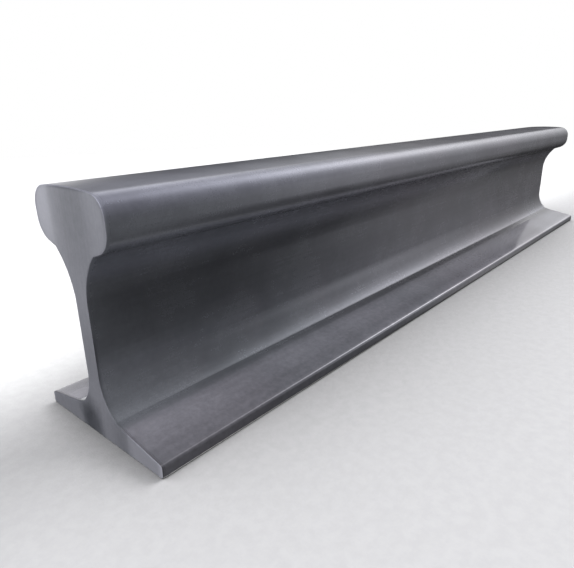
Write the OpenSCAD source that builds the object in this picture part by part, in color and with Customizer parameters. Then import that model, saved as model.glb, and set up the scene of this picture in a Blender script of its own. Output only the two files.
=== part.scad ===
// Flat-bottomed steel rail: one straight length of hot-rolled stock, sawn square at both ends.
// The origin is the middle of the underside, halfway along. +X runs along the rail and +Z is up,
// so the section is drawn across Y and Z and is the same on both sides of the web.

/* [Rail] */
// Length between the two sawn ends
rail_length = 770; // [200:1:3000]
// Overall height, from the underside of the foot to the top of the crown
rail_height = 140; // [115:1:180]

/* [Foot] */
// Overall width of the foot
foot_width = 114; // [95:1:150]
// Height at which the foot's upper slope would meet its vertical edge
foot_edge_height = 7.6; // [6:0.1:12]
// Fall of the outer slope on top of the foot, in degrees
outer_slope = 10.5; // [5:0.5:16]
// Distance from the middle of the web to the crease between the two slopes
crease_offset = 23.5; // [20:0.5:30]
// Fall of the narrow inner slope beside the web, in degrees
inner_slope = 17.5; // [10:0.5:26]
// Width of the inner slope, from the crease to the start of the web fillet
inner_slope_width = 6; // [3:0.5:8]
// Radius of the rounded upper corner of the foot's edge
foot_top_radius = 2; // [0.5:0.25:3]
// Radius of the rounded lower corner of the foot's edge
foot_bottom_radius = 1.5; // [0.5:0.25:2.5]

/* [Web] */
// Thickness of the web between its two flat faces
web_thickness = 11.6; // [8:0.1:18]
// Radius of the fillet between the foot and the web
fillet_radius = 28.5; // [18:0.5:32]
// Radius of the sweep from the web out to the underside of the head
neck_radius = 41; // [34:0.5:60]

/* [Head] */
// Width of the head
head_width = 69; // [60:0.5:80]
// Height from the corner under the head, where the neck ends, to the top of the crown
head_depth = 32.3; // [28:0.1:44]
// Distance from the middle of the web to that corner
head_root_offset = 19; // [15:0.5:21]
// Rise of the underside of the head towards its edge, in degrees
underhead_slope = 18.4; // [10:0.2:26]
// Radius of the lower corners of the head
head_bottom_radius = 12.9; // [4:0.1:14]
// Radius of the upper corners of the head
head_top_radius = 12; // [6:0.5:14]
// Radius of the crown, the running surface on top
crown_radius = 300; // [150:10:600]

/* [Hidden] */
$fn = 180;

// A rounded corner reaches this far into the faces beside it, so that arc and face always cross
corner_bite = 0.002;
// An arc runs on inside the metal by this angle, past the point where it meets the next face
arc_overrun = 4;
// Least width of the flat that a rounded corner leaves on each side of it
least_flat = 0.5;

foot_half = foot_width / 2;
web_half = web_thickness / 2;
head_half = head_width / 2;

// The crease on top of the foot, and the ridge where the two inner slopes would meet in the web
crease = [crease_offset, foot_edge_height + (foot_half - crease_offset) * tan(outer_slope)];
foot_ridge = [0, crease.y + crease.x * tan(inner_slope)];

// Centres of the rounded corners of the foot's edge
foot_top_centre = [
    foot_half - foot_top_radius,
    foot_edge_height + foot_top_radius * (tan(outer_slope) - 1 / cos(outer_slope))
];
foot_bottom_centre = [foot_half - foot_bottom_radius, foot_bottom_radius];

// The web fillet is tangent to the web and starts at the top of the inner slope
fillet_start = crease + inner_slope_width * [-1, tan(inner_slope)];
fillet_centre = [
    web_half + fillet_radius,
    fillet_start.y + leg(fillet_radius, web_half + fillet_radius - fillet_start.x)
];

// The neck is tangent to the web and ends in the corner under the head
head_root = [head_root_offset, rail_height - head_depth];
neck_centre = [
    web_half + neck_radius,
    head_root.y - leg(neck_radius, web_half + neck_radius - head_root.x)
];

// The valley where the two undersides of the head would meet in the web
head_valley = [0, head_root.y - head_root.x * tan(underhead_slope)];

// Centres of the crown and of the rounded upper corners of the head
crown_centre = [0, rail_height - crown_radius];
head_top_centre = [
    head_half - head_top_radius,
    crown_centre.y + leg(crown_radius - head_top_radius + corner_bite, head_half - head_top_radius)
];

// The lower corners are rounded no more than leaves a strip of flat on the side and on the underside
head_edge_height = head_valley.y + head_half * tan(underhead_slope);
lower_radius = min(
    head_bottom_radius,
    (head_top_centre.y - head_edge_height - least_flat) / (1 / cos(underhead_slope) - tan(underhead_slope)),
    (head_half - head_root.x - least_flat) / (1 - sin(underhead_slope))
);
head_bottom_centre = [
    head_half - lower_radius,
    head_edge_height + lower_radius * (1 / cos(underhead_slope) - tan(underhead_slope))
];

// The second leg of a right triangle, from its longest side and its first leg
function leg(longest, first) = sqrt(pow(longest, 2) - pow(first, 2));

// The direction of one point seen from another
function direction(from, to) = atan2(to.y - from.y, to.x - from.x);

// The point at a distance and a direction from a centre
function polar(centre, distance, angle) = centre + distance * [cos(angle), sin(angle)];

// Points up the right side, followed by their mirror images down the left, as one closed outline
function both_sides(points) = concat(
    points,
    [for (i = [len(points) - 1 : -1 : 0]) if (points[i].x > 0) [-points[i].x, points[i].y]]
);

module mirrored() {
    children();
    mirror([1, 0]) children();
}

// A pie slice of a disc, which rounds a convex corner
module slice(centre, radius, from, to) {
    intersection() {
        translate(centre) circle(radius);
        polygon([centre, polar(centre, 2 * radius, from), polar(centre, 2 * radius, to)]);
    }
}

module foot_section() {
    polygon(both_sides([
        [foot_bottom_centre.x, 0],
        [foot_half, foot_bottom_centre.y],
        [foot_half, foot_top_centre.y],
        polar(foot_top_centre, foot_top_radius - corner_bite, 90 - outer_slope),
        crease,
        foot_ridge
    ]));
    mirrored() {
        slice(foot_bottom_centre, foot_bottom_radius, -90, 0);
        slice(foot_top_centre, foot_top_radius, 0, 90 - outer_slope + arc_overrun);
    }
}

// The web between its two flat faces, with the foot fillets below and the neck sweeps above
module web_section() {
    foot_end = direction(fillet_centre, fillet_start) + arc_overrun;
    head_end = direction(neck_centre, head_root) - arc_overrun;
    difference() {
        polygon(both_sides([
            polar(fillet_centre, 1.1 * fillet_radius, foot_end),
            fillet_centre,
            [web_half, fillet_centre.y],
            [web_half, neck_centre.y],
            neck_centre,
            polar(neck_centre, 1.1 * neck_radius, head_end)
        ]));
        mirrored() {
            translate(fillet_centre) circle(fillet_radius);
            translate(neck_centre) circle(neck_radius);
        }
    }
}

module head_section() {
    crown_end = direction(crown_centre, head_top_centre);
    underhead_normal = underhead_slope - 90;
    polygon(both_sides([
        head_valley,
        polar(head_bottom_centre, lower_radius - corner_bite, underhead_normal),
        [head_half, head_bottom_centre.y],
        [head_half, head_top_centre.y],
        polar(head_top_centre, head_top_radius - corner_bite, crown_end)
    ]));
    mirrored() {
        slice(head_bottom_centre, lower_radius, underhead_normal - arc_overrun, 0);
        slice(head_top_centre, head_top_radius, 0, crown_end + arc_overrun);
    }
    // The crown runs from one upper corner to the other
    intersection() {
        translate(crown_centre) circle(crown_radius);
        polygon(both_sides([head_top_centre, polar(head_top_centre, 2 * head_top_radius, crown_end)]));
    }
}

module rail() {
    color([0.36, 0.37, 0.40])
        rotate([90, 0, 90])
            translate([0, 0, -rail_length / 2])
                linear_extrude(rail_length) {
                    foot_section();
                    web_section();
                    head_section();
                }
}

rail();
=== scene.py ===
from math import atan2, ceil, cos, exp, log, radians, sin, sqrt, tan

import bpy
from mathutils import Matrix, Vector


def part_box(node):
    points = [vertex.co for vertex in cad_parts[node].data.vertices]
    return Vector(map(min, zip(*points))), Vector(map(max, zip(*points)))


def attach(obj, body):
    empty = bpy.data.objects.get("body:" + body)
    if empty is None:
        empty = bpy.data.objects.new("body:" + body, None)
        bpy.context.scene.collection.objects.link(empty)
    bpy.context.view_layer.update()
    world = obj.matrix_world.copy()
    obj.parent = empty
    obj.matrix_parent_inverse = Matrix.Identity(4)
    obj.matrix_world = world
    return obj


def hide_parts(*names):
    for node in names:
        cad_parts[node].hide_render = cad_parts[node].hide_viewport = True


# A straight length of flat-bottomed rail as it leaves the mill: rolled, cooled and sawn square.
# The frame holds its real size. +X runs along the rail, +Z is up and the floor is at height 0.

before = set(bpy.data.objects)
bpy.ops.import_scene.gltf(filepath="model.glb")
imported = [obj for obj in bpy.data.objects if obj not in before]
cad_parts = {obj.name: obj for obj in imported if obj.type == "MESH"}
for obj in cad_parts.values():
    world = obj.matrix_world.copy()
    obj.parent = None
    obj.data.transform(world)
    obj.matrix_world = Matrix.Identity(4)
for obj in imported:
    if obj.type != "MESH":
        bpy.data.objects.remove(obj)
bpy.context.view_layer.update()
railLow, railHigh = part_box("rail")
mm = 0.001
print("frame loaded, rail size", [round(high - low, 4) for low, high in zip(railLow, railHigh)])


def setStops(ramp, stops):
    # Grey stops, each a place from 0 to 1 and a tone
    while len(ramp.elements) < len(stops):
        ramp.elements.new(1.0)
    for element, (position, tone) in zip(ramp.elements, stops):
        element.position = position
        element.color = (tone, tone, tone, 1)


def feed(node, values):
    # Links or sets the inputs of a node
    for name, value in values.items():
        if isinstance(value, Socket):
            value.tree.links.new(value.socket, node.inputs[name])
        else:
            node.inputs[name].default_value = value


class Socket:
    # One output socket. Sums, differences and products of sockets add their own Math nodes.
    def __init__(self, tree, socket=None):
        self.tree = tree
        self.socket = socket

    def node(self, kind, settings=None, values=None, output=0):
        made = self.tree.nodes.new(kind)
        for name, value in (settings or {}).items():
            if name == "stops":
                setStops(made.color_ramp, value)
            else:
                setattr(made, name, value)
        feed(made, values or {})
        return Socket(self.tree, made.outputs[output] if made.outputs else None)

    def maths(self, operation, first, second):
        return self.node("ShaderNodeMath", {"operation": operation}, {0: first, 1: second})

    def __add__(self, other):
        return self.maths("ADD", self, other)

    def __sub__(self, other):
        return self.maths("SUBTRACT", self, other)

    def __rsub__(self, other):
        return self.maths("SUBTRACT", other, self)

    def __mul__(self, other):
        return self.maths("MULTIPLY", self, other)

    __radd__ = __add__
    __rmul__ = __mul__


def mixColours(mask, first, second):
    # second shows where the mask is 1
    return mask.node("ShaderNodeMix", {"data_type": "RGBA"}, {0: mask, 6: first, 7: second}, 2)


def multiplied(vector, factors):
    return vector.node("ShaderNodeVectorMath", {"operation": "MULTIPLY"}, {0: vector, 1: factors})


def scaled(colour, factor):
    return factor.node("ShaderNodeVectorMath", {"operation": "SCALE"}, {0: colour, "Scale": factor})


def distanceTo(place, point):
    return place.node("ShaderNodeVectorMath", {"operation": "DISTANCE"}, {0: place, 1: point}, 1)


def dotWith(vector, direction):
    return vector.node("ShaderNodeVectorMath", {"operation": "DOT_PRODUCT"}, {0: vector, 1: direction}, 1)


def noise(place, scale, detail, roughness):
    values = {"Vector": place, "Scale": scale, "Detail": detail, "Roughness": roughness}
    return place.node("ShaderNodeTexNoise", {}, values)


def remap(value, low, high, newLow=0.0, newHigh=1.0):
    values = {"Value": value, "From Min": low, "From Max": high, "To Min": newLow, "To Max": newHigh}
    return value.node("ShaderNodeMapRange", {"interpolation_type": "SMOOTHSTEP"}, values)


def window(value, places):
    # Goes from 0 at the first place to 1 at the second, and where there are four places it is 1 up to
    # the third and back at 0 at the last. All are in millimetres.
    start, full, *closing = (place * mm for place in places)
    opened = remap(value, start, full)
    if not closing:
        return opened
    still, end = closing
    return opened * remap(value, end, still)


def shared(share, first, second):
    # A share of the first and the rest of the second
    return share * first + (1 - share) * second


def changing(nearTones, farTones, measure, span, farther):
    # Tones by a distance in millimetres, which go from one set to another along the rail. A ramp
    # holds tones up to 1, so they go in at half and come out doubled.
    ramps = []
    for tones in (nearTones, farTones):
        stops = [(distance * mm / span, tone / 2) for distance, tone in tones]
        ramps.append(measure.node("ShaderNodeValToRGB", {"stops": stops}, {"Fac": measure * (1 / span)}))
    return 2 * (ramps[0] * (1 - farther) + ramps[1] * farther)


def partsOf(place):
    # The place along the rail, across it and up it
    return [place.node("ShaderNodeSeparateXYZ", {}, {0: place}, output) for output in range(3)]


def marked(place, name):
    # What markEdges wrote on the mesh
    return place.node("ShaderNodeAttribute", {"attribute_name": name}, output=2)


def newFinish(name):
    # A material, its Principled shader and the place of each point on the rail, in metres
    material = bpy.data.materials.new(name)
    material.use_nodes = True
    place = Socket(material.node_tree).node("ShaderNodeTexCoord", output=3)
    return material, material.node_tree.nodes["Principled BSDF"], place


# In both finishes a noise is its details to the metre, its octaves and its roughness. What ends in
# Along, Side, Up or Down is places in millimetres, as window takes them, and left is +Y.

rolledFinish = {
    "darkScale": (0.194, 0.197, 0.224, 1),
    "paleScale": (0.231, 0.234, 0.266, 1),
    "glintingRubbedSteel": (0.42, 0.42, 0.45, 1),
    "mottle": (26, 5.0, 0.62),
    "grain": (900, 2.0, 0.6),
    "speckle": (300, 3.0, 0.7),
    "streaks": (9, 420, 420),         # streaks to the metre along the rail, across it and up it
    "ridges": (5, 160, 160),
    "lengthwise": (1.0, 1.0, 0.5),    # the noise behind streaks and ridges, once it is stretched
    "streakShare": 0.2,               # of streaks in the scale, and the rest is mottle
    "scaleRange": (0.36, 0.64),       # the noise at which the scale is darkest and palest
    "rubbedRange": (0.75, 1.3),       # wear at which bare steel starts to show, and shows most
    "rubbedMottle": 0.6,
    "mostWearAndGlint": 0.6,
    "leastWearAndGlint": 0.2,               # painted highlight as well as wear: the share of the rubbed edge's glint that is left at the near end
    # The scale is cooler at the near end and warmer on the foot and farther on, in soft patches
    "coolTint": (0.94, 1.002, 1.00, 1),
    "warmTint": (1.03, 0.995, 1.01, 1),
    "tintPatches": (7, 2.0, 0.5),
    "tintRange": (0.4, 0.6),
    "patchShare": 0.3,
    "blueTint": (0.985, 0.99, 1.075, 1),   # on the upper part of the head, at its near end
    "blueUp": (124, 134),
    # Gloss
    "metallic": 0.5,
    "specular": 0.3,
    "plainRoughness": 0.22,
    "crownRoughness": 0.11,           # on the running surface
    "crownDown": (1.8, 1.0),          # where that is, measured down from the top
    "footRoughness": 0.09,            # on the top of the foot
    "footUp": (15, 13),
    "roughnessRange": 0.08,
    "scaleGloss": 0.5,                # the share of the scale in that range, and the rest is grain
    "rubbedGloss": 0.08,              # how much smoother the rubbed edges are
    "cutRoughness": 0.35,             # how much rougher the filed rim of a cut is
    "bumpHeight": 0.2 * mm,
    "bumpStrength": 0.03,
    "ridgeShare": 0.9,                # of ridges in the bump, and the rest is grain
    # Tone, which multiplies the colour
    "plainTone": 0.90,
    "fartherAlong": (-385, -60),      # from the near end's tones and tint to the far end's
    # Tones across the top of the foot at its two ends: millimetres from the middle and tone. They are
    # painted shade and painted reflection, darkest at the crease and much darker there at the far end.
    "nearFoot": (
        (0, 0.90), (16.0, 0.88), (17.8, 0.82), (20.8, 0.80), (22.5, 0.88), (25, 1.02), (29, 1.12),
        (35, 1.09), (42, 0.94), (47, 0.80), (50, 0.82), (53, 0.74), (57, 0.60),
    ),
    "farFoot": (
        (0, 0.90), (16.5, 0.90), (17.6, 0.37), (20.8, 0.29), (22.5, 0.35), (25, 0.56), (29, 0.72),
        (35, 0.79), (42, 0.76), (47, 0.69), (50, 0.74), (53, 0.86), (57, 0.90),
    ),
    "bandsUp": (1, 4, 17, 22),
    "farFootReflection": 0.33,               # painted reflection: how much brighter the bands are at the far end, where the foot mirrors the light beyond the rail's end
    "farFootReflectionAlong": (225, 285),
    # Tones up the web at its two ends, millimetres above the floor and tone: painted shade on the upper
    # web, and painted light on the neck under the head at the near end
    "nearWeb": (
        (14, 0.82), (24, 0.88), (32, 1.00), (42, 0.92), (52, 0.66), (60, 0.57), (82, 0.54), (92, 0.84),
        (99, 1.30), (106, 1.52), (112, 1.48), (117, 1.0),
    ),
    "farWeb": (
        (14, 1.10), (20, 1.05), (27, 0.97), (45, 0.97), (60, 0.87), (85, 0.87), (96, 0.86),
        (104, 0.72), (112, 0.87), (118, 1.0),
    ),
    "webUp": (13, 15),
    # Painted shade under the head, on the neck and on the fillet, and painted light on the neck near the
    # far end: the change of tone, and where up and along the rail
    "paintedLightAndShade": {
        "shadeUnderHead": {"change": -0.35, "up": (105, 107, 111, 113), "along": (-60, 100)},
        "shadedNeck": {"change": -0.5, "up": (92, 101, 107, 108.5), "along": (-130, 90, 135, 175)},
        "litNeck": {"change": 1.0, "up": (92, 101, 105, 107.5), "along": (140, 200)},
        "shadedFillet": {"change": -0.25, "up": (15, 19, 28, 42), "along": (-100, 250)},
    },
    "lowRimShade": 0.55,             # painted shade on the rim of a cut, low on the rail, which dims its glint
    "lowRimUp": (70, 50),
    "speckleDepth": 0.3,              # and on top of the foot as much again
    "footBottomShade": 0.4,                 # painted shade just above the floor, where the foot meets it
    "footBottomShadeUp": (0, 4),
}


# The scale's own tone with painted shade, painted light and painted reflection on the foot, the web, the
# neck and the rims of the cuts
def scaleToneAndShade(look, place, farther, onFoot):
    along, side, height = partsOf(place)
    # The bands lie on the foot only
    across = side.maths("ABSOLUTE", side, 0.0)
    # Painted shade and painted reflection across the top of the foot
    bands = changing(look["nearFoot"], look["farFoot"], across, railHigh.y, farther)
    # Painted reflection on the foot at the far end
    bands = bands * (1 + look["farFootReflection"] * window(along, look["farFootReflectionAlong"]))
    onSlopes = window(height, look["bandsUp"])
    tone = bands * onSlopes + look["plainTone"] * (1 - onSlopes)
    # Painted shade along the bottom of the foot
    tone = tone * shared(look["footBottomShade"], 1, window(height, look["footBottomShadeUp"]))
    # Painted shade and painted light up the web
    webShading = changing(look["nearWeb"], look["farWeb"], height, railHigh.z, farther)
    onWeb = window(height, look["webUp"])
    tone = tone * (1 - onWeb + webShading * onWeb)
    # Painted shade and painted light in patches along the rail
    for patch in look["paintedLightAndShade"].values():
        here = window(height, patch["up"]) * window(along, patch["along"])
        tone = tone * (1 + patch["change"] * here)
    # Painted shade on the rims of the cuts low on the rail
    tone = tone * (1 - look["lowRimShade"] * marked(place, "cutRim") * window(height, look["lowRimUp"]))
    speckle = noise(place, *look["speckle"]) - 0.5
    return tone * (1 + look["speckleDepth"] * speckle * (1 + onFoot))


def makeRolledFinish(look):
    material, shader, place = newFinish("rolledScale")
    along, height = partsOf(place)[::2]
    farther = window(along, look["fartherAlong"])
    onFoot = window(height, look["footUp"])
    streaks = noise(multiplied(place, look["streaks"]), *look["lengthwise"])
    ridges = noise(multiplied(place, look["ridges"]), *look["lengthwise"])
    mottle = noise(place, *look["mottle"])
    grain = noise(place, *look["grain"])
    paler = remap(shared(look["streakShare"], streaks, mottle), *look["scaleRange"])
    # Wear on the foot's top edges, which is also a painted highlight: paler rubbed steel that fades
    # towards the near end as the edge's glint does
    worn = marked(place, "edgeWear") + look["rubbedMottle"] * mottle
    wearAndGlint = remap(worn, *look["rubbedRange"], 0.0, look["mostWearAndGlint"])
    wearAndGlint = wearAndGlint * shared(look["leastWearAndGlint"], 1, farther)
    colour = mixColours(paler, look["darkScale"], look["paleScale"])
    colour = mixColours(wearAndGlint, colour, look["glintingRubbedSteel"])
    # Tint
    patchy = remap(noise(place, *look["tintPatches"]), *look["tintRange"])
    warmer = shared(look["patchShare"], patchy, farther + (1 - farther) * onFoot)
    bluer = window(height, look["blueUp"]) * (1 - farther)
    tint = mixColours(bluer, mixColours(warmer, look["coolTint"], look["warmTint"]), look["blueTint"])
    # Gloss
    plain = look["plainRoughness"]
    onCrown = window(railHigh.z - height, look["crownDown"])
    roughness = plain + (look["crownRoughness"] - plain) * onCrown
    roughness = roughness + (look["footRoughness"] - plain) * onFoot
    roughness = roughness + look["roughnessRange"] * shared(look["scaleGloss"], paler, grain)
    roughness = roughness - look["rubbedGloss"] * wearAndGlint + look["cutRoughness"] * marked(place, "cutRim")
    bumpValues = {
        "Strength": look["bumpStrength"],
        "Distance": look["bumpHeight"],
        "Height": shared(look["ridgeShare"], ridges, grain),
    }
    feed(shader, {
        "Base Color": scaled(multiplied(colour, tint), scaleToneAndShade(look, place, farther, onFoot)),
        "Roughness": roughness,
        "Metallic": look["metallic"],
        "Specular IOR Level": look["specular"],
        "Normal": place.node("ShaderNodeBump", {}, bumpValues),
    })
    return material


sawnFinish = {
    "darkCut": (0.075, 0.081, 0.100, 1),
    "paleCut": (0.438, 0.442, 0.506, 1),
    "plainTone": 0.53,                # from darkCut at 0 to paleCut at 1, and what follows adds to it
    "mottle": (22, 4.0, 0.55),
    "mottleDepth": 0.2,
    "speckle": (300, 3.0, 0.7),
    "speckleDepth": 0.22,
    "grain": (1400, 2.0, 0.6),
    # The saw's marks are arcs round its spindle
    "bladeCentre": (0, 0.86, 0.16),   # in metres
    "markSpacing": 1.8 * mm,
    "markOctaves": 3.0,
    "markRoughness": 0.6,
    "markDepth": 0.16,
    # Painted light on the head's end: painted shade in its middle and painted reflection towards both
    # sides
    "headUp": (76, 130),
    "headShade": -0.28,
    "headSideReflections": {
        "left": {"tone": 0.36, "side": (0, 27)},
        "leftEdge": {"tone": 0.24, "side": (14, 22)},
        "right": {"tone": 0.29, "side": (-8, -28)},
    },
    # Painted shade low on the foot's end, with a ragged edge, and painted light on the toe beside it
    "raggedness": (60, 3.0, 0.6),
    "footShadeMiddle": (9, 5),            # millimetres to the left and up
    "footShadeHalf": (14, 19),            # half its width and half its height, in millimetres
    "footShadeEdge": (1.15, 0.35),        # where it ends and where it is full, in halves of its size
    "footShadeRaggedness": 0.7,                # how ragged that edge is
    "footShadeTone": -0.50,
    "litToeSide": (-22, -35),
    "litToeUp": (16, 7),
    "litToeRaggedness": 12 * mm,
    "litToeTone": 0.50,
    # Paler where the web spreads into the foot
    "rootSide": (-22, -8, 2, 12),
    "rootUp": (44, 24),
    "rootTone": 0.14,
    # Painted highlight on the filed rim high on the rail, and painted shade on it low on the rail
    "highRimUp": (30, 60),
    "highRimHighlight": 0.12,
    "lowFiledEdgeShade": -0.42,
    # Gloss
    "metallic": 0.5,
    "smoothest": 0.36,
    "roughest": 0.52,
    "markGloss": 0.6,                 # the share of the marks in that range, and the rest is grain
    "rimRoughness": 0.35,
    "bumpHeight": 0.2 * mm,
    "bumpStrength": 0.08,
    "markBump": 0.7,                  # of the marks in the bump, and the rest is grain
}


# The cut's own tone with painted shade and painted light on the head, the foot and the rim
def cutToneAndShade(look, place):
    side, height = partsOf(place)[1:]
    # Painted shade in the middle of the head's end and painted reflection towards its sides
    sides = [part["tone"] * window(side, part["side"]) for part in look["headSideReflections"].values()]
    head = window(height, look["headUp"]) * (sum(sides) + look["headShade"])
    raggedness = noise(place, *look["raggedness"]) - 0.5
    # Painted shade low on the foot's end, and painted light on the toe beside it
    (footShadeSide, footShadeUp), (halfWidth, halfHeight) = look["footShadeMiddle"], look["footShadeHalf"]
    inHalves = multiplied(place, (0, 1 / (halfWidth * mm), 1 / (halfHeight * mm)))
    fromFootShade = distanceTo(inHalves, (0, footShadeSide / halfWidth, footShadeUp / halfHeight))
    footShade = remap(fromFootShade + look["footShadeRaggedness"] * raggedness, *look["footShadeEdge"])
    raggedOffset = look["litToeRaggedness"] * raggedness
    litToe = window(side + raggedOffset, look["litToeSide"]) * window(height + raggedOffset, look["litToeUp"])
    root = window(height, look["rootUp"]) * window(side, look["rootSide"])
    # Painted highlight on the rim high on the rail and painted shade on the filed edge low on it
    high = window(height, look["highRimUp"])
    paintedRim = look["highRimHighlight"] * marked(place, "cutRim") * high
    paintedRim = paintedRim + look["lowFiledEdgeShade"] * marked(place, "filedEdge") * (1 - high)
    tone = look["plainTone"] + head + paintedRim + look["rootTone"] * root
    return tone + look["footShadeTone"] * footShade + look["litToeTone"] * litToe


def makeSawnFinish(look):
    material, shader, place = newFinish("sawnSteel")
    mottle = noise(place, *look["mottle"])
    grain = noise(place, *look["grain"])
    speckle = noise(place, *look["speckle"])
    markValues = {
        "W": distanceTo(multiplied(place, (0, 1, 1)), look["bladeCentre"]),
        "Scale": 1 / look["markSpacing"],
        "Detail": look["markOctaves"],
        "Roughness": look["markRoughness"],
    }
    marks = place.node("ShaderNodeTexNoise", {"noise_dimensions": "1D"}, markValues)
    tone = cutToneAndShade(look, place) + look["mottleDepth"] * (mottle - 0.5)
    tone = tone + look["markDepth"] * (marks - 0.5) + look["speckleDepth"] * (speckle - 0.5)
    bumpValues = {
        "Strength": look["bumpStrength"],
        "Distance": look["bumpHeight"],
        "Height": shared(look["markBump"], marks, grain),
    }
    uneven = (look["roughest"] - look["smoothest"]) * shared(look["markGloss"], marks, grain)
    feed(shader, {
        "Base Color": mixColours(tone, look["darkCut"], look["paleCut"]),
        "Roughness": look["smoothest"] + uneven + look["rimRoughness"] * marked(place, "cutRim"),
        "Metallic": look["metallic"],
        "Normal": place.node("ShaderNodeBump", {}, bumpValues),
    })
    return material


railSection = {
    "footEdgeHeight": 7.6 * mm,       # where the outer slope would meet the foot's edge
    "outerSlope": radians(10.5),
    "creaseOffset": 23.5 * mm,
    "innerSlope": radians(17.5),
    "innerSlopeWidth": 6 * mm,
    "footTopRadius": 2 * mm,
    "footBottomRadius": 1.5 * mm,
    "webThickness": 11.6 * mm,
    "filletRadius": 28.5 * mm,
    "neckRadius": 41 * mm,
    "headWidth": 69 * mm,
    "headDepth": 32.3 * mm,           # from the corner under the head to the top of the crown
    "headRootOffset": 19 * mm,
    "underheadSlope": radians(18.4),
    "headBottomRadius": 12.9 * mm,
    "headTopRadius": 12 * mm,
    "crownRadius": 300 * mm,
    "columns": 14,                    # faces across half of the underside, the crown and a sawn end
    "arcStep": 1.3 * mm,
    "arcTurn": radians(7),
    "flatStep": 4 * mm,
}


def arc(centre, radius, first, last, count=None):
    # Points on an arc, both ends included
    if count is None:
        turn = abs(last - first)
        count = ceil(max(turn * radius / railSection["arcStep"], turn / railSection["arcTurn"]))
    turns = [first + (last - first) * i / count for i in range(count + 1)]
    return [centre + radius * Vector((cos(turn), sin(turn))) for turn in turns]


def flat(start, end, count=None):
    # Points from start to just before end
    if count is None:
        count = ceil((end - start).length / railSection["flatStep"])
    return [start.lerp(end, i / count) for i in range(count)]


def directionTo(start, end):
    return atan2(end.y - start.y, end.x - start.x) % radians(360)


def leg(longest, first):
    return sqrt(longest ** 2 - first ** 2)


def footRuns(section, footHalf):
    # The foot's underside, its rounded edge and the two slopes on top, up to the start of the fillet
    outer, inner = section["outerSlope"], section["innerSlope"]
    bottomRadius, topRadius = section["footBottomRadius"], section["footTopRadius"]
    edgeHeight, creaseOffset = section["footEdgeHeight"], section["creaseOffset"]
    bottomCentre = Vector((footHalf - bottomRadius, bottomRadius))
    topCentre = Vector((footHalf - topRadius, edgeHeight + topRadius * (tan(outer) - 1 / cos(outer))))
    crease = Vector((creaseOffset, edgeHeight + (footHalf - creaseOffset) * tan(outer)))
    filletStart = crease + section["innerSlopeWidth"] * Vector((-1, tan(inner)))
    topArc = arc(topCentre, topRadius, 0, radians(90) - outer)
    return filletStart, {
        "underside": flat(Vector((0, 0)), Vector((bottomCentre.x, 0)), section["columns"]),
        "footBottom": arc(bottomCentre, bottomRadius, radians(-90), 0),
        "footTop": topArc[:-1],
        "outerSlope": flat(topArc[-1], crease),
        "innerSlope": flat(crease, filletStart),
    }


def webRuns(section, filletStart, headRoot):
    # The fillet on the foot, the flat of the web and the neck that sweeps out under the head
    webHalf = section["webThickness"] / 2
    filletRadius, neckRadius = section["filletRadius"], section["neckRadius"]
    filletReach, neckReach = webHalf + filletRadius, webHalf + neckRadius
    filletCentre = Vector((filletReach, filletStart.y + leg(filletRadius, filletReach - filletStart.x)))
    neckCentre = Vector((neckReach, headRoot.y - leg(neckRadius, neckReach - headRoot.x)))
    fillet = arc(filletCentre, filletRadius, directionTo(filletCentre, filletStart), radians(180))
    neck = arc(neckCentre, neckRadius, radians(180), directionTo(neckCentre, headRoot))
    return {"fillet": fillet[:-1], "web": flat(fillet[-1], neck[0]), "neck": neck[:-1]}


def headRuns(section, headRoot, railHeight):
    # The underside of the head, its side between two rounded corners, and half of the crown
    slope, headHalf = section["underheadSlope"], section["headWidth"] / 2
    bottomRadius, topRadius = section["headBottomRadius"], section["headTopRadius"]
    edgeHeight = headRoot.y + (headHalf - headRoot.x) * tan(slope)
    bottomRise = bottomRadius * (1 / cos(slope) - tan(slope))
    bottomCentre = Vector((headHalf - bottomRadius, edgeHeight + bottomRise))
    crownCentre = Vector((0, railHeight - section["crownRadius"]))
    topReach = headHalf - topRadius
    topCentre = Vector((topReach, crownCentre.y + leg(section["crownRadius"] - topRadius, topReach)))
    crownEdge = directionTo(crownCentre, topCentre)
    bottomArc = arc(bottomCentre, bottomRadius, slope - radians(90), 0)
    topArc = arc(topCentre, topRadius, 0, crownEdge)
    return {
        "underhead": flat(headRoot, bottomArc[0]),
        "headBottom": bottomArc[:-1],
        "headSide": flat(bottomArc[-1], topArc[0]),
        "headTop": topArc[:-1],
        "crown": arc(crownCentre, section["crownRadius"], crownEdge, radians(90), section["columns"]),
    }


def railOutline(section, footHalf, railHeight):
    # The closed outline from the middle of the underside up the right side and down the left,
    # with the place on the right side where each run starts
    headRoot = Vector((section["headRootOffset"], railHeight - section["headDepth"]))
    filletStart, runs = footRuns(section, footHalf)
    runs |= webRuns(section, filletStart, headRoot)
    runs |= headRuns(section, headRoot, railHeight)
    right, starts = [], {}
    for name, run in runs.items():
        starts[name] = len(right)
        right += run
    return right + [Vector((-point.x, point.y)) for point in right[-2:0:-1]], starts


barDetail = {
    "ringStep": 9 * mm,
    "burrRadius": 0.4 * mm,           # the saw's burr is filed off this far
    "burrSteps": 4,
    "holdingSteps": (0.3 * mm, 0.9 * mm, 1.7 * mm, 2.8 * mm),   # closer rings beside the filed edge
    "creases": ("innerSlope", "fillet", "underhead"),
    "wornRuns": ("footTop",),
    "wearReach": 1.7 * mm,
    "rimReach": 1.2 * mm,
}


def insetOutline(points, inset):
    # The outline moved this far into the metal
    moved = []
    for before, point, after in zip(points[-1:] + points[:-1], points, points[1:] + points[:1]):
        arriving, leaving = (point - before).normalized(), (after - point).normalized()
        inward = Vector((-arriving.y - leaving.y, arriving.x + leaving.x)).normalized()
        mitre = inward.dot(Vector((-arriving.y, arriving.x)))
        moved.append(point + inward * (inset / mitre))
    return moved


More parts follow.
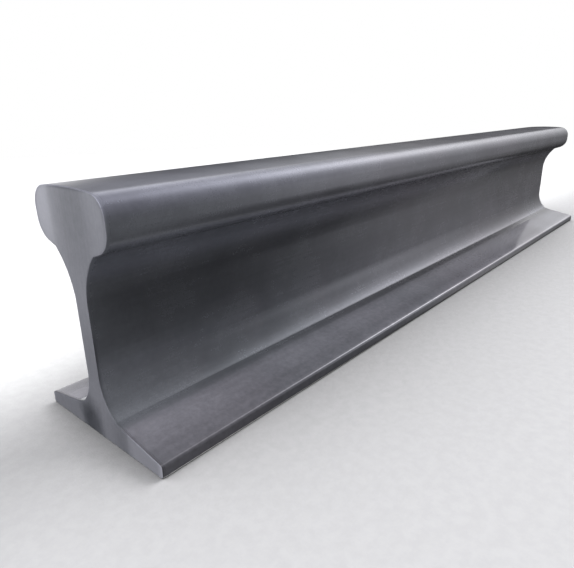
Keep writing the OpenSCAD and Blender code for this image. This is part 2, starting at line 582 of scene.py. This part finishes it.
def ringPlaces(detail, halfLength):
    # The place along the rail and the inset of every ring, with a rounded edge at both cuts
    radius, steps = detail["burrRadius"], detail["burrSteps"]
    turns = [radians(90) * i / steps for i in range(steps, -1, -1)]
    nearEnd = [(-halfLength + radius * (1 - sin(turn)), radius * (1 - cos(turn))) for turn in turns]
    nearEnd += [(-halfLength + radius + step, 0) for step in detail["holdingSteps"]]
    reach = -nearEnd[-1][0]
    farEnd = [(-along, inset) for along, inset in reversed(nearEnd)]
    count = ceil(2 * reach / detail["ringStep"])
    middle = [(-reach + 2 * reach * i / count, 0) for i in range(1, count)]
    return nearEnd + middle + farEnd


def capEnd(vertices, starts, base, size, columns):
    # A grid of faces across one sawn end. Every row has the same number of points, so the first
    # row takes the underside's own points and the last row the crown's.
    firstRow, lastRow = starts["footBottom"], starts["crown"]
    rows = [[base + -step % size for step in range(columns, -columns - 1, -1)]]
    for row in range(firstRow + 1, lastRow):
        along, half, height = vertices[base + row]
        first = len(vertices)
        vertices.extend((along, half * (i / columns - 1), height) for i in range(1, 2 * columns))
        rows.append([base + size - row, *range(first, len(vertices)), base + row])
    rows.append([base + size - lastRow - step for step in range(2 * columns + 1)])
    return [
        (below[i], below[i + 1], above[i + 1], above[i])
        for below, above in zip(rows, rows[1:])
        for i in range(2 * columns)
    ]


def sweepRings(outline, rings, burrSteps):
    # Vertices and faces of every ring, with 1 where a face takes the finish of the cut
    size = len(outline)
    vertices, faces, slots = [], [], []
    for along, inset in rings:
        shifted = insetOutline(outline, inset) if inset else outline
        vertices += [(along, point.x, point.y) for point in shifted]
    for ring in range(len(rings) - 1):
        cutFace = min(ring, len(rings) - 2 - ring) < burrSteps / 2
        for i in range(size):
            near, far, step = ring * size + i, (ring + 1) * size + i, (i + 1) % size - i
            faces.append((near, near + step, far + step, far))
            slots.append(int(cutFace))
    return vertices, faces, slots


def markCreases(mesh, starts, detail, size, ringCount):
    # Sharp edges along the creases of the section and round both cuts
    creases = {starts[name] for name in detail["creases"]}
    creases |= {size - start for start in creases}
    sharp = []
    for edge in mesh.edges:
        (ringA, columnA), (ringB, columnB) = (divmod(vertex, size) for vertex in edge.vertices)
        lengthwise = columnA == columnB and columnA in creases and max(ringA, ringB) < ringCount
        sharp.append(lengthwise or (ringA == ringB and ringA in (0, ringCount - 1)))
    mesh.attributes.new("sharp_edge", "BOOLEAN", "EDGE").data.foreach_set("value", sharp)


def markEdges(mesh, outline, starts, detail, ringCount):
    # What the finishes read: wear on the edges that other steel rubs against, the rim of each cut
    # except along the underside, and the filed edge itself. The finishes also paint highlight and shade
    # with these.
    size = len(outline)
    names = list(starts)
    corners = []
    for name in detail["wornRuns"]:
        last = starts[names[names.index(name) + 1]]
        corners += [outline[last], outline[-last % size]]
    wearBy = []
    for point in outline:
        nearest = min((point - corner).length for corner in corners)
        wearBy.append(exp(-(nearest / detail["wearReach"]) ** 2))
    marks = {"edgeWear": [], "cutRim": [], "filedEdge": []}
    for i, vertex in enumerate(mesh.vertices):
        ring, column = divmod(i, size)
        onRing = ring < ringCount
        resting = min(column, size - column) <= starts["footBottom"]
        fromCut = (railHigh.x - abs(vertex.co.x)) / detail["rimReach"]
        filed = 0 < min(ring, ringCount - 1 - ring) <= detail["burrSteps"]
        marks["edgeWear"].append(wearBy[column] if onRing else 0)
        marks["cutRim"].append(exp(-fromCut ** 2) if onRing and not resting else 0)
        marks["filedEdge"].append(float(filed))
    for name, values in marks.items():
        mesh.attributes.new(name, "FLOAT", "POINT").data.foreach_set("value", values)


def buildBar(section, detail, high, finishes):
    outline, starts = railOutline(section, high.y, high.z)
    size = len(outline)
    rings = ringPlaces(detail, high.x)
    vertices, faces, slots = sweepRings(outline, rings, detail["burrSteps"])
    for base, facing in ((0, -1), ((len(rings) - 1) * size, 1)):
        cap = capEnd(vertices, starts, base, size, section["columns"])
        faces += [corners[::facing] for corners in cap]
        slots += [1] * len(cap)
    mesh = bpy.data.meshes.new("rail_bar")
    mesh.from_pydata(vertices, [], faces)
    for finish in finishes:
        mesh.materials.append(finish)
    mesh.polygons.foreach_set("material_index", slots)
    mesh.polygons.foreach_set("use_smooth", [True] * len(faces))
    markCreases(mesh, starts, detail, size, len(rings))
    markEdges(mesh, outline, starts, detail, len(rings))
    mesh.validate()
    bar = bpy.data.objects.new("rail_bar", mesh)
    bpy.context.scene.collection.objects.link(bar)
    return bar


rolledScale = makeRolledFinish(rolledFinish)
sawnSteel = makeSawnFinish(sawnFinish)
railPiece = buildBar(railSection, barDetail, railHigh, (rolledScale, sawnSteel))
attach(railPiece, "root")
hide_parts("rail")
print("rail built:", len(railPiece.data.polygons), "faces")


floorLook = {
    "size": 6.0,
    "openTone": (0.331, 0.330, 0.339, 1),
    "roughness": 1.0,
    "specular": 0.0,
    # Painted shadow: close to the rail the floor's colour is darker, by an occlusion term tilted towards
    # the far end
    "contactShadowTone": (0.08, 0.08, 0.08, 1),
    "shadeReach": 240 * mm,
    "shadeFacing": (0.70, 0.25, 0.67),
    "shadeRange": (0.25, 1.0),
    "shadeSamples": 8,
    # Painted light: behind the rail the floor's colour is paler, so that it runs into the backdrop
    "washedTone": (0.50, 0.50, 0.508, 1),
    "washHeading": (0.06, 1, 0),
    "washRange": (-0.01, 0.13),
    "grain": (160, 4.0, 0.6),
    "grainRange": (0.3, 0.7),
    "grainDepth": 0.06,
    # Far from the rail it clears, so that it runs out into the white behind it
    "clearRange": (0.9, 2.2),
}


def buildFloor(look):
    half = look["size"] / 2
    corners = [(-half, -half, 0), (half, -half, 0), (half, half, 0), (-half, half, 0)]
    mesh = bpy.data.meshes.new("studio_floor")
    mesh.from_pydata(corners, [], [(0, 1, 2, 3)])
    material, shader, place = newFinish("paleFloor")
    # Painted shadow near the rail
    shadeValues = {"Distance": look["shadeReach"], "Normal": look["shadeFacing"]}
    openness = place.node("ShaderNodeAmbientOcclusion", {"samples": look["shadeSamples"]}, shadeValues, 1)
    # Painted light behind the rail
    washed = remap(dotWith(place, look["washHeading"]), *look["washRange"])
    tone = mixColours(washed, look["openTone"], look["washedTone"])
    tone = mixColours(remap(openness, *look["shadeRange"]), look["contactShadowTone"], tone)
    darker = look["grainDepth"] * remap(noise(place, *look["grain"]), *look["grainRange"])
    feed(shader, {
        "Base Color": scaled(tone, 1 - darker),
        "Roughness": look["roughness"],
        "Specular IOR Level": look["specular"],
    })
    distance = place.node("ShaderNodeVectorMath", {"operation": "LENGTH"}, {0: place}, 1)
    clear = place.node("ShaderNodeBsdfTransparent")
    solid = Socket(place.tree, shader.outputs[0])
    cleared = {0: remap(distance, *look["clearRange"]), 1: solid, 2: clear}
    feed(place.tree.nodes["Material Output"], {"Surface": place.node("ShaderNodeMixShader", {}, cleared)})
    mesh.materials.append(material)
    floor = bpy.data.objects.new("studio_floor", mesh)
    floor.visible_glossy = False
    floor.visible_diffuse = False
    bpy.context.scene.collection.objects.link(floor)
    return floor


floor = buildFloor(floorLook)
print("floor laid")

floorLamp = {
    "heading": radians(-8),
    "rise": radians(40),
    "spread": radians(35),
    "strength": 3.4,
}


def towardsOf(heading, rise):
    # The direction of a heading from +X towards +Y and a rise above the floor
    return Vector((cos(rise) * cos(heading), cos(rise) * sin(heading), sin(rise)))


def hangFloorLamp(look, floor):
    # A soft lamp beyond the far end that lights only the floor, so the rail throws a shade forwards
    data = bpy.data.lights.new("floorLamp", "SUN")
    data.angle = look["spread"]
    data.energy = look["strength"]
    lamp = bpy.data.objects.new("floorLamp", data)
    lamp.rotation_euler = towardsOf(look["heading"], look["rise"]).to_track_quat("Z", "Y").to_euler()
    bpy.context.scene.collection.objects.link(lamp)
    lit = bpy.data.collections.new("litFloor")
    lit.objects.link(floor)
    lamp.light_linking.receiver_collection = lit


hangFloorLamp(floorLamp, floor)

studioSky = {
    "backdrop": (1.0, 1.0, 1.0, 1),   # what the camera sees past the floor
    "light": (1.0, 1.0, 1.0, 1),
    # Soft boxes: heading from +X towards +Y, rise above the floor and half width, all in degrees
    "boxes": {
        "keyBox": {"heading": 202, "rise": 60, "spread": 17, "strength": 14.1},
        "farBox": {"heading": -4.5, "rise": 35, "spread": 13.2, "strength": 3.6},
        "leftBox": {"heading": 48, "rise": 42, "spread": 16, "strength": 1.75},
        "rightBox": {"heading": -25, "rise": 14, "spread": 14, "strength": 0.78},
        "highBox": {"heading": -14, "rise": 60, "spread": 13, "strength": 0.55},
        "middleBox": {"heading": 33, "rise": 16, "spread": 9, "strength": 0.3},
        "horizonBox": {"heading": 8, "rise": 14.5, "spread": 4.5, "strength": 0.55},
        "lowRightBox": {"heading": -36, "rise": -4, "spread": 8.7, "strength": 0.9},
        "lowFarBox": {"heading": -19, "rise": -17, "spread": 6.5, "strength": 0.38},
        "endBox": {"heading": 112, "rise": -4, "spread": 13, "strength": 2.1},
        "backBox": {"heading": 80, "rise": -2, "spread": 10, "strength": 3.4},
        "frontGlow": {"heading": -100, "rise": -38, "spread": 25, "strength": 0.8},
        "floorGlow": {"heading": 34, "rise": -62, "spread": 20, "strength": 2.4},
    },
}


def lightSky(look):
    world = bpy.data.worlds.new("studioSky")
    world.use_nodes = True
    world.node_tree.nodes.clear()
    facing = Socket(world.node_tree).node("ShaderNodeTexCoord")
    glows = []
    for box in look["boxes"].values():
        nearness = dotWith(facing, towardsOf(radians(box["heading"]), radians(box["rise"])))
        sharpness = log(2) / (1 - cos(radians(box["spread"])))   # half as bright at the spread
        falloff = (nearness - 1) * sharpness
        glows.append(box["strength"] * falloff.maths("EXPONENT", falloff, 0.0))
    seen = facing.node("ShaderNodeBackground", {}, {"Color": look["backdrop"]})
    cast = facing.node("ShaderNodeBackground", {}, {"Color": look["light"], "Strength": sum(glows)})
    cameraRay = facing.node("ShaderNodeLightPath")
    mixed = facing.node("ShaderNodeMixShader", {}, {0: cameraRay, 1: cast, 2: seen})
    facing.node("ShaderNodeOutputWorld", {}, {"Surface": mixed})
    bpy.context.scene.world = world


lightSky(studioSky)
print("studio lit")

viewpoint = {
    "lens": 31.935,
    "place": (-0.49872, -0.24215, 0.17244),
    "heading": radians(41.493),       # from +X towards +Y
    "dip": radians(18.889),
    "roll": radians(1.202),
    "nearest": 10 * mm,               # what is closer than this isn't drawn
}


def setCamera(look):
    heading, roll = look["heading"], look["roll"]
    forward = towardsOf(heading, -look["dip"])
    level = Vector((sin(heading), -cos(heading), 0))
    upright = level.cross(forward)
    right = cos(roll) * level - sin(roll) * upright
    up = sin(roll) * level + cos(roll) * upright
    data = bpy.data.cameras.new("studioCamera")
    data.lens = look["lens"]
    data.clip_start = look["nearest"]
    camera = bpy.data.objects.new("studioCamera", data)
    turned = Matrix((right, up, -forward)).transposed()
    camera.matrix_world = Matrix.Translation(look["place"]) @ turned.to_4x4()
    bpy.context.scene.collection.objects.link(camera)
    bpy.context.scene.camera = camera


setCamera(viewpoint)
bpy.context.scene.view_settings.view_transform = "Standard"
print("camera set")
